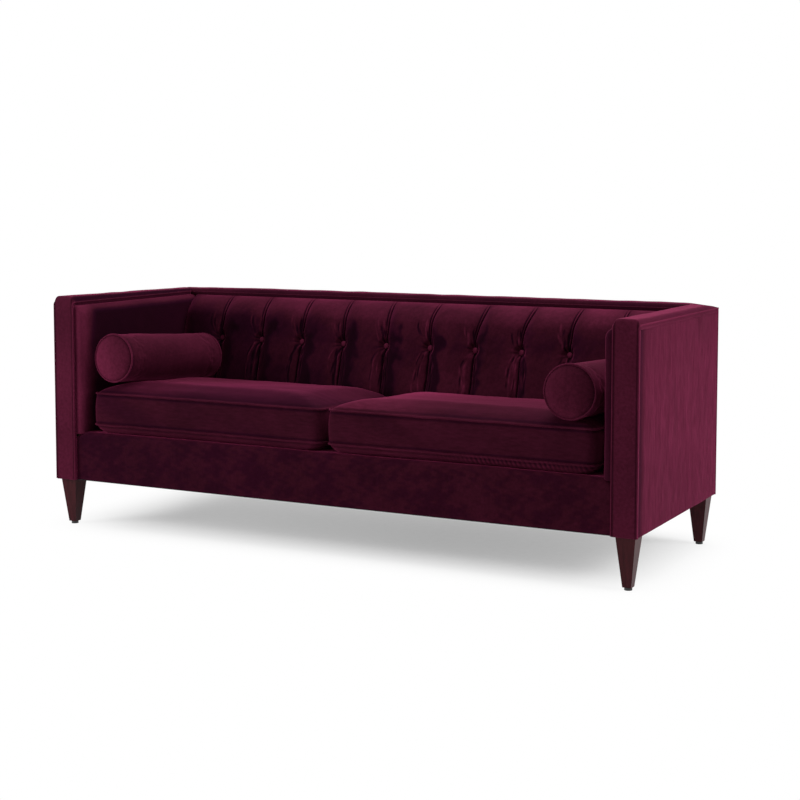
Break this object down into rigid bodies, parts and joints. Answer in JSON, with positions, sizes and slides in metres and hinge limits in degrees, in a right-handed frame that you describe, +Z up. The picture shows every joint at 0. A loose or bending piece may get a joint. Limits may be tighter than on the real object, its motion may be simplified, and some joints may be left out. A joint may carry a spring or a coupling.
{
  "type": "tuxedo sofa",
  "caption": "Velvet tuxedo sofa with arms level with a channel-tufted, buttoned back, loose boxed seat cushions, loose round bolsters and square tapered wooden legs.",
  "frame": {"origin": "on the floor below the middle of the sofa", "axes": "+X to the right as seen from the front, +Y to the back, +Z up; the front faces -Y"},
  "size_m": [2.134, 0.79, 0.8],
  "materials": {
    "velvet": "plum cut-pile velvet",
    "leg_wood": "dark espresso stain, satin",
    "frame_timber": "planed softwood",
    "plywood": "sawn plywood",
    "board": "thin fibreboard",
    "foam": "open-cell foam and wadding",
    "steel": "zinc-plated",
    "clip_steel": "black coated",
    "dust_cloth": "spun-bonded cloth",
    "glide_nylon": "nylon"
  },
  "bodies": {
    "root": {"front_seat_rail": "frame_timber", "back_seat_rail": "frame_timber", "left_seat_rail": "frame_timber", "right_seat_rail": "frame_timber", "centre_seat_rail": "frame_timber", "left_front_post": "frame_timber", "right_front_post": "frame_timber", "left_back_post": "frame_timber", "right_back_post": "frame_timber", "left_arm_rail": "frame_timber", "right_arm_rail": "frame_timber", "back_top_rail": "frame_timber", "left_back_upright": "frame_timber", "right_back_upright": "frame_timber", "corner_blocks": "plywood", "seat_springs": "steel", "spring_clips": "clip_steel", "left_arm_outer_board": "board", "right_arm_outer_board": "board", "left_arm_inner_board": "board", "right_arm_inner_board": "board", "outer_back_board": "board", "inner_back_board": "board", "left_arm_foam": "foam", "right_arm_foam": "foam", "left_arm_front_foam": "foam", "right_arm_front_foam": "foam", "back_top_foam": "foam", "front_rail_foam": "foam", "seat_deck_pad": "foam", "back_pad_foam": "foam", "left_arm_outer_cover": "velvet", "right_arm_outer_cover": "velvet", "left_arm_inner_cover": "velvet", "right_arm_inner_cover": "velvet", "left_arm_band_cover": "velvet", "right_arm_band_cover": "velvet", "back_band_cover": "velvet", "outer_back_cover": "velvet", "front_rail_cover": "velvet", "seat_deck_cover": "velvet", "tufted_back_cover": "velvet", "back_buttons": "velvet", "dust_cover": "dust_cloth", "front_left_leg": "leg_wood", "front_right_leg": "leg_wood", "back_left_leg": "leg_wood", "back_right_leg": "leg_wood", "leg_glides": "glide_nylon", "leg_t_nuts": "steel", "leg_hanger_bolts": "steel"},
    "left_seat_cushion": {"left_cushion_cover": "velvet", "left_cushion_core": "foam"},
    "right_seat_cushion": {"right_cushion_cover": "velvet", "right_cushion_core": "foam"},
    "left_bolster": {"left_bolster_cover": "velvet", "left_bolster_core": "foam"},
    "right_bolster": {"right_bolster_cover": "velvet", "right_bolster_core": "foam"}
  },
  "joints": [
    {"name": "left_seat_cushion_lift", "type": "slide", "parent": "root", "child": "left_seat_cushion", "axis": [0, 0, 1], "range_m": [0, 0.5]},
    {"name": "right_seat_cushion_lift", "type": "slide", "parent": "root", "child": "right_seat_cushion", "axis": [0, 0, 1], "range_m": [0, 0.5]},
    {"name": "left_bolster_lift", "type": "slide", "parent": "left_seat_cushion", "child": "left_bolster", "axis": [0, 0, 1], "range_m": [0, 0.35]},
    {"name": "right_bolster_lift", "type": "slide", "parent": "right_seat_cushion", "child": "right_bolster", "axis": [0, 0, 1], "range_m": [0, 0.35]}
  ]
}
